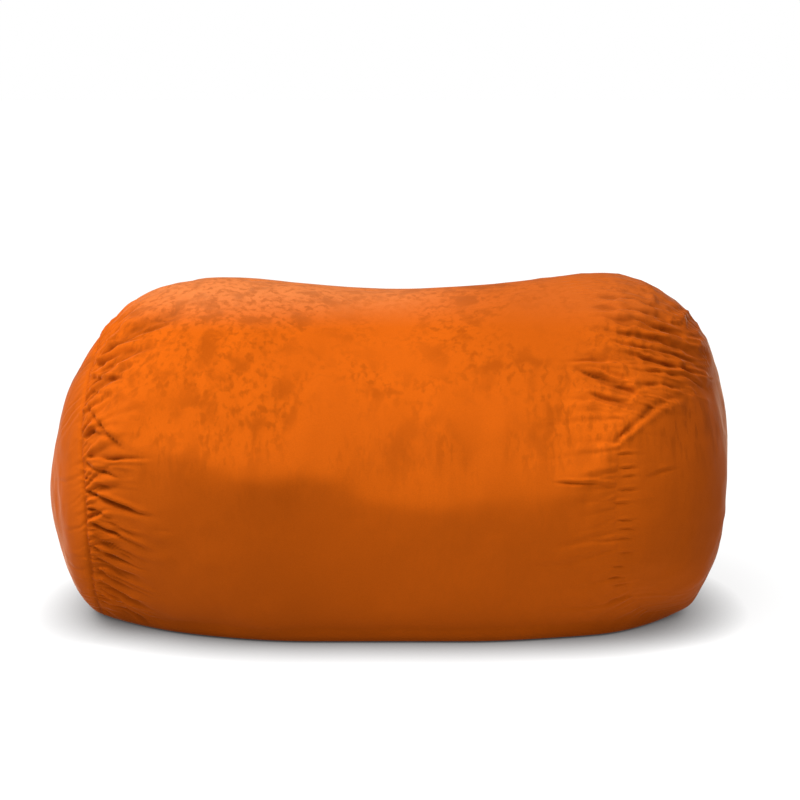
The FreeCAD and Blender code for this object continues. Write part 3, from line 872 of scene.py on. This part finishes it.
def make_inner(kind, inset):
    """The wrap and the two ends of an inner layer."""
    middle = inset_surface(wrap_turns(INNER_ALONG, INNER_SEAMS), inset)
    made = {"wrap": mesh_object(kind + "_wrap", middle, ring_faces(INNER_ALONG, INNER_AROUND))}
    for side, edge in (("left", middle[0]), ("right", middle[-1])):
        points = inset_surface(end_turns(side, INNER_END_ROWS, INNER_SEAMS), inset)
        points[0] = edge
        made[side] = mesh_object(kind + "_end_" + side, *capped(points, points[-1].mean(axis=0)))
    for obj in made.values():
        face_outwards(obj)
    return made


# ---- materials

SUEDE_COLOUR = (0.48, 0.084, 0.0022)
# Colour that the painted sheen on the top is mixed towards.
PAINTED_SHEEN_COLOUR = (0.60, 0.24, 0.09)
NAP_CONTRAST = 0.27
# Painted shade: how much darker the top right, the right end, low down, the folds, under the brow and the
# left end are drawn.
TOP_RIGHT_PAINTED_SHADE = 0.15
END_DARK = 0.12
LOW_DARK = 0.07
FOLD_PAINTED_SHADE = 0.25
UNDER_LEFT_DARK = 0.13
LEFT_END_DARK = 0.14
# How far the top is mixed towards the painted sheen colour.
PAINTED_SHEEN_TOP = 0.42


class Graph:
    """A node tree, with short ways to add nodes and to join them."""

    def __init__(self, owner):
        owner.use_nodes = True
        self.nodes = owner.node_tree.nodes
        self.links = owner.node_tree.links

    def add(self, kind, **values):
        node = self.nodes.new("ShaderNode" + kind)
        for name, value in values.items():
            if hasattr(node, name):
                setattr(node, name, value)
            else:
                node.inputs[name.replace("_", " ").title()].default_value = value
        return node

    def put(self, socket, value):
        """Set a socket to a number or a colour, or join it to another node's output."""
        if isinstance(value, bpy.types.NodeSocket):
            self.links.new(value, socket)
        else:
            socket.default_value = value

    def noise(self, coords, scale, detail, stretch=(1, 1, 1), distortion=0.0):
        mapping = self.add("Mapping", scale=stretch)
        self.put(mapping.inputs["Vector"], coords)
        texture = self.add("TexNoise", scale=scale, detail=detail, distortion=distortion)
        self.put(texture.inputs["Vector"], mapping.outputs["Vector"])
        return texture.outputs["Fac"]

    def step(self, value, low, high, to_low=0.0, to_high=1.0):
        """A smooth step from to_low to to_high as the value passes from low to high."""
        node = self.add("MapRange", interpolation_type="SMOOTHSTEP", from_min=low, from_max=high,
                        to_min=to_low, to_max=to_high)
        self.put(node.inputs["Value"], value)
        return node.outputs["Result"]

    def math(self, operation, first, second):
        node = self.add("Math", operation=operation)
        self.put(node.inputs[0], first)
        self.put(node.inputs[1], second)
        return node.outputs["Value"]


def new_material(name):
    material = bpy.data.materials.new(name)
    graph = Graph(material)
    return material, graph, graph.nodes["Principled BSDF"]


def shade_colour(graph, shader, colour, shade):
    """Set the base colour to a colour made lighter or darker by the shade."""
    tint = graph.add("VectorMath", operation="SCALE")
    graph.put(tint.inputs[0], colour)
    graph.put(tint.inputs["Scale"], shade)
    graph.put(shader.inputs["Base Color"], tint.outputs["Vector"])


def raise_surface(graph, shader, height, strength, distance):
    bump = graph.add("Bump", strength=strength, distance=distance)
    graph.put(bump.inputs["Height"], height)
    graph.put(shader.inputs["Normal"], bump.outputs["Normal"])


def suede():
    """Brushed microsuede: darker nap strokes above the brow, broad random tone, painted shade in folds and
    zones, painted sheen on top.
    """
    material, graph, shader = new_material("orange_suede")
    step, times, plus = graph.step, partial(graph.math, "MULTIPLY"), partial(graph.math, "ADD")
    one_minus = partial(graph.math, "SUBTRACT", 1.0)
    coords = graph.add("TexCoord").outputs["Object"]
    place = graph.add("SeparateXYZ")
    graph.put(place.inputs["Vector"], coords)
    x, z = place.outputs["X"], place.outputs["Z"]
    broad = graph.noise(coords, 3.5, 3, distortion=0.3)
    strokes = graph.noise(coords, 19, 6, stretch=(1.0, 1.0, 0.34), distortion=0.35)
    dabs = graph.noise(coords, 60, 5, stretch=(1.0, 1.0, 0.26), distortion=0.2)
    grain = graph.noise(coords, 420, 2)

    # Brush strokes, in patches and mostly above the brow.
    patches = step(broad, 0.34, 0.56)
    marks = times(step(strokes, 0.46, 0.66), patches)
    small_marks = times(step(dabs, 0.46, 0.66), patches)
    nap = graph.math("MAXIMUM", marks, small_marks)
    nap = times(times(nap, step(z, 0.40, 0.62, 0.12, 1.0)), NAP_CONTRAST)
    shade = one_minus(plus(nap, step(grain, 0.3, 0.7, -0.05, 0.05)))
    shade = times(shade, step(broad, 0.3, 0.7, 0.95, 1.04))

    # Nap crushed in the folds.
    # Painted shade in the folds: the deeper a fold sinks, the darker its colour.
    folds = graph.add("Attribute", attribute_name="fold_depth").outputs["Fac"]
    shade = times(shade, step(folds, -0.0075, -0.0004, 1 - FOLD_PAINTED_SHADE, 1.0))

    # Painted shade: darker on the top right, on both ends, low down, and under the brow's left part.
    dark = times(times(step(x, 0.02, 0.32), step(z, 0.58, 0.80)), TOP_RIGHT_PAINTED_SHADE)
    dark = plus(dark, step(x, 0.52, 0.80, 0.0, END_DARK))
    dark = plus(dark, step(z, 0.22, 0.46, LOW_DARK, 0.0))
    under_brow = times(step(x, -0.42, 0.0, UNDER_LEFT_DARK, 0.0), step(z, 0.40, 0.53, 1.0, 0.0))
    dark = plus(dark, times(under_brow, step(x, -0.72, -0.58)))
    dark = plus(dark, step(x, -0.82, -0.76, LEFT_END_DARK, 0.0))
    shade = times(shade, one_minus(dark))

    # Painted sheen: paler on the top, most of all on its left part.
    pale = times(step(z, 0.79, 0.885), step(x, -0.05, 0.30, 1.0, 0.25))
    pale = times(times(pale, step(dabs, 0.35, 0.60, 1.0, 0.82)), PAINTED_SHEEN_TOP)
    colour = graph.add("Mix", data_type="RGBA")
    for socket, value in (("Factor", pale), ("A", (*SUEDE_COLOUR, 1)), ("B", (*PAINTED_SHEEN_COLOUR, 1))):
        graph.put(colour.inputs[socket], value)
    shade_colour(graph, shader, colour.outputs["Result"], shade)
    raise_surface(graph, shader, plus(dabs, times(grain, 0.35)), 0.35, 0.0012)
    shader.inputs["Roughness"].default_value = 0.95
    shader.inputs["Specular IOR Level"].default_value = 0.05
    shader.inputs["Sheen Weight"].default_value = 0.38
    shader.inputs["Sheen Roughness"].default_value = 0.20
    shader.inputs["Sheen Tint"].default_value = (1, 0.74, 0.54, 1)
    return material


def woven(name, colour, roughness):
    """Close weave: fine slanting ribs, a little darker and lighter than the colour."""
    material, graph, shader = new_material(name)
    ribs = graph.add("TexWave", bands_direction="DIAGONAL", scale=260)
    graph.put(ribs.inputs["Vector"], graph.add("TexCoord").outputs["Object"])
    shade = graph.step(ribs.outputs["Fac"], 0.0, 1.0, 0.86, 1.06)
    shade_colour(graph, shader, colour, shade)
    shader.inputs["Roughness"].default_value = roughness
    return material


def mottled(name, colour, roughness, scale, contrast, relief, metallic=0.0, specular=0.5):
    """Uneven stuff: a noise that varies its colour and roughness and raises its surface a little."""
    material, graph, shader = new_material(name)
    uneven = graph.noise(graph.add("TexCoord").outputs["Object"], scale, 4, distortion=0.4)
    shade_colour(graph, shader, colour, graph.step(uneven, 0.25, 0.75, 1 - contrast, 1 + contrast))
    gloss = graph.step(uneven, 0.25, 0.75, roughness - 0.08, roughness + 0.08)
    graph.put(shader.inputs["Roughness"], gloss)
    raise_surface(graph, shader, uneven, 0.4, relief)
    shader.inputs["Metallic"].default_value = metallic
    shader.inputs["Specular IOR Level"].default_value = specular
    return material


def table_stuff():
    """The pale table: it glows evenly, with a painted contact shadow where the bag stands close over it."""
    material, graph, shader = new_material("studio_floor")
    # Painted contact shadow: ambient occlusion dims the table's glow near the bag.
    painted_shadow = graph.add("AmbientOcclusion", distance=TABLE_SHADOW_REACH)
    glow = graph.add("Math", operation="MULTIPLY", use_clamp=True)
    graph.put(glow.inputs[0], painted_shadow.outputs["AO"])
    graph.put(glow.inputs[1], TABLE_GLOW)
    graph.put(shader.inputs["Emission Strength"], glow.outputs["Value"])
    shader.inputs["Emission Color"].default_value = WHITE
    shader.inputs["Base Color"].default_value = (TABLE_ALBEDO, TABLE_ALBEDO, TABLE_ALBEDO, 1)
    shader.inputs["Roughness"].default_value = 0.9
    shader.inputs["Specular IOR Level"].default_value = 0.0
    return material


# ---- camera, light, floor

AIM = Vector((0.030, 0, 0.566))
CAMERA_DISTANCE = 5.0
CAMERA_TILT = math.radians(10)
SENSOR_WIDTH, FOCAL_LENGTH = 36, 82.8


def make_camera():
    """A long lens, straight at the front and a little from above."""
    data = bpy.data.cameras.new("camera")
    data.sensor_width = SENSOR_WIDTH
    data.lens = FOCAL_LENGTH
    camera = bpy.data.objects.new("camera", data)
    back_up = Vector((0, -math.cos(CAMERA_TILT), math.sin(CAMERA_TILT)))
    camera.location = AIM + CAMERA_DISTANCE * back_up
    camera.rotation_euler = (math.pi / 2 - CAMERA_TILT, 0, 0)
    bpy.context.scene.collection.objects.link(camera)
    bpy.context.scene.camera = camera


WHITE = (1, 1, 1, 1)
KEY_STRENGTH, KEY_NARROWNESS = 20.5, 20.0
SIDE_STRENGTH, SIDE_NARROWNESS = 0.65, 4.0
AMBIENT = 0.02
TABLE_SIZE = 200
TABLE_ALBEDO = 0.12
TABLE_GLOW = 0.88
# How far the painted contact shadow on the table reaches.
TABLE_SHADOW_REACH = 0.15
KEY_FROM = Vector((-0.36, -0.34, 1.0)).normalized()
SIDE_FROM = Vector((-1.0, 0.25, 0.12)).normalized()


def light_lobe(graph, coords, direction, narrowness, strength):
    """Light that falls off round one direction."""
    towards = graph.add("VectorMath", operation="DOT_PRODUCT")
    graph.put(towards.inputs[0], coords.outputs["Generated"])
    graph.put(towards.inputs[1], direction)
    value = towards.outputs["Value"]
    for operation, number in (("MAXIMUM", 0.0), ("POWER", narrowness), ("MULTIPLY", strength)):
        value = graph.math(operation, value, number)
    return value


def make_studio():
    """A soft key from above, a weak fill from the left, a white backdrop and a glowing pale table."""
    scene = bpy.context.scene
    scene.view_settings.view_transform = "Standard"
    scene.view_settings.look = "None"
    scene.world = bpy.data.worlds.new("studio")
    graph = Graph(scene.world)
    lobe, backdrop = graph.nodes["Background"], graph.add("Background")
    for background in (lobe, backdrop):
        background.inputs["Color"].default_value = WHITE
    coords = graph.add("TexCoord")
    key = light_lobe(graph, coords, KEY_FROM, KEY_NARROWNESS, KEY_STRENGTH)
    side = light_lobe(graph, coords, SIDE_FROM, SIDE_NARROWNESS, SIDE_STRENGTH)
    both = graph.math("ADD", key, side)
    graph.put(lobe.inputs["Strength"], graph.math("ADD", both, AMBIENT))
    mix = graph.add("MixShader")
    graph.put(mix.inputs["Fac"], graph.add("LightPath").outputs["Is Camera Ray"])
    graph.put(mix.inputs[1], lobe.outputs["Background"])
    graph.put(mix.inputs[2], backdrop.outputs["Background"])
    graph.put(graph.nodes["World Output"].inputs["Surface"], mix.outputs["Shader"])
    bpy.ops.mesh.primitive_plane_add(size=TABLE_SIZE)
    floor = bpy.context.object
    floor.name = "studio_floor"
    floor.data.materials.append(table_stuff())


# ---- assembly

SIDES = ("left", "right")


def declare(obj, material, body, material_slot, *nodes):
    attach(obj, body)
    if nodes:
        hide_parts(*nodes)
    obj.data.materials.append(material)


make_camera()
make_studio()

cover_cloth = suede()
wrap, wrap_points = make_wrap()
declare(wrap, cover_cloth, "bag", "cover_suede", "cover_wrap_panel")
for side in SIDES:
    end = make_end(side)
    declare(end, cover_cloth, "bag", "cover_suede", "cover_end_panel_" + side)

thread = mottled("orange_thread", (0.42, 0.072, 0.003), roughness=0.85, scale=900, contrast=0.12,
                 relief=0.0002, specular=0.05)
tape_cloth = woven("orange_tape", (0.36, 0.062, 0.004), roughness=0.8)
liner_tape_cloth = woven("pale_tape", (0.70, 0.69, 0.65), roughness=0.8)
coil_look = {"roughness": 0.4, "scale": 400, "contrast": 0.06, "relief": 0.0001}
coil_stuff = mottled("orange_coil", (0.40, 0.070, 0.006), **coil_look)
liner_coil_stuff = mottled("pale_coil", (0.75, 0.74, 0.70), **coil_look)
satin = woven("label_satin", (0.80, 0.80, 0.78), roughness=0.35)
metal = mottled("zip_metal", (0.55, 0.53, 0.50), roughness=0.35, scale=600, contrast=0.10,
                relief=0.00005, metallic=1.0)

for side, row, sunk in (("left", 1, 0.0), ("right", -2, 0.0009)):
    path = np.concatenate([wrap_points[row], wrap_points[row][:1]])
    out = (path - np.array([0, 0, EQUATOR])) * np.array([0, 1, 1])
    out /= np.linalg.norm(out, axis=1, keepdims=True)
    seam = stitch_row("cover_stitches_" + side, path, out, length=0.0065, pitch=0.009, radius=0.0007,
                      sunk=sunk)
    declare(seam, thread, "bag", "cover_thread", "cover_seam_thread_" + side)

for offset in TOPSTITCHING:
    height = ZIP_LINE + offset
    line = np.linspace([-SLOT_END, BACK, height], [SLOT_END, BACK, height], 60)
    outward = np.tile([0.0, 1.0, 0.0], (60, 1))
    row_of_stitches = stitch_row("cover_zip_stitches", line, outward, length=0.0028, pitch=0.0042,
                                 radius=0.0005)
    declare(row_of_stitches, thread, "bag", "cover_thread")

for kind, tape, coil in (
    ("cover", tape_cloth, coil_stuff),
    ("liner", liner_tape_cloth, liner_coil_stuff),
):
    for name, side in (("upper", 1), ("lower", -1)):
        node = "%s_zip_tape_%s" % (kind, name)
        strip = rounded_box(node + "_cloth", *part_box(node), radius=0.0003)
        declare(strip, tape, "bag", kind + "_zip_tape", node)
        node = "%s_zip_coil_%s" % (kind, name)
        teeth = make_coil(node + "_teeth", node, side)
        declare(teeth, coil, "bag", kind + "_zip_coil", node)
    for name in SIDES:
        node = "%s_zip_stop_%s" % (kind, name)
        stop = rounded_box(node + "_clip", *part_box(node), radius=0.0006)
        declare(stop, metal, "bag", "zip_metal", node)

declare(make_label(), satin, "bag", "label_satin", "care_label")

for node in ("cover_zip_slider", "cover_zip_pull_tab", "liner_zip_slider"):
    hardware = bpy.data.objects[node]
    hardware.data.materials.clear()
    hardware.data.materials.append(metal)

liner_cloth = woven("liner_cloth", (0.8, 0.79, 0.75), roughness=0.8)
for part, obj in make_inner("liner", LINER_INSET).items():
    node = "liner_wrap_panel" if part == "wrap" else "liner_end_panel_" + part
    threads = () if part == "wrap" else ("liner_seam_thread_" + part,)
    declare(obj, liner_cloth, "bag", "liner_cloth", node, *threads)

foam_stuff = mottled("foam", (0.85, 0.78, 0.55), roughness=0.9, scale=45, contrast=0.14, relief=0.004)
for part, obj in make_inner("foam", FOAM_INSET).items():
    declare(obj, foam_stuff, "bag", "foam", *(("foam_fill",) if part == "wrap" else ()))
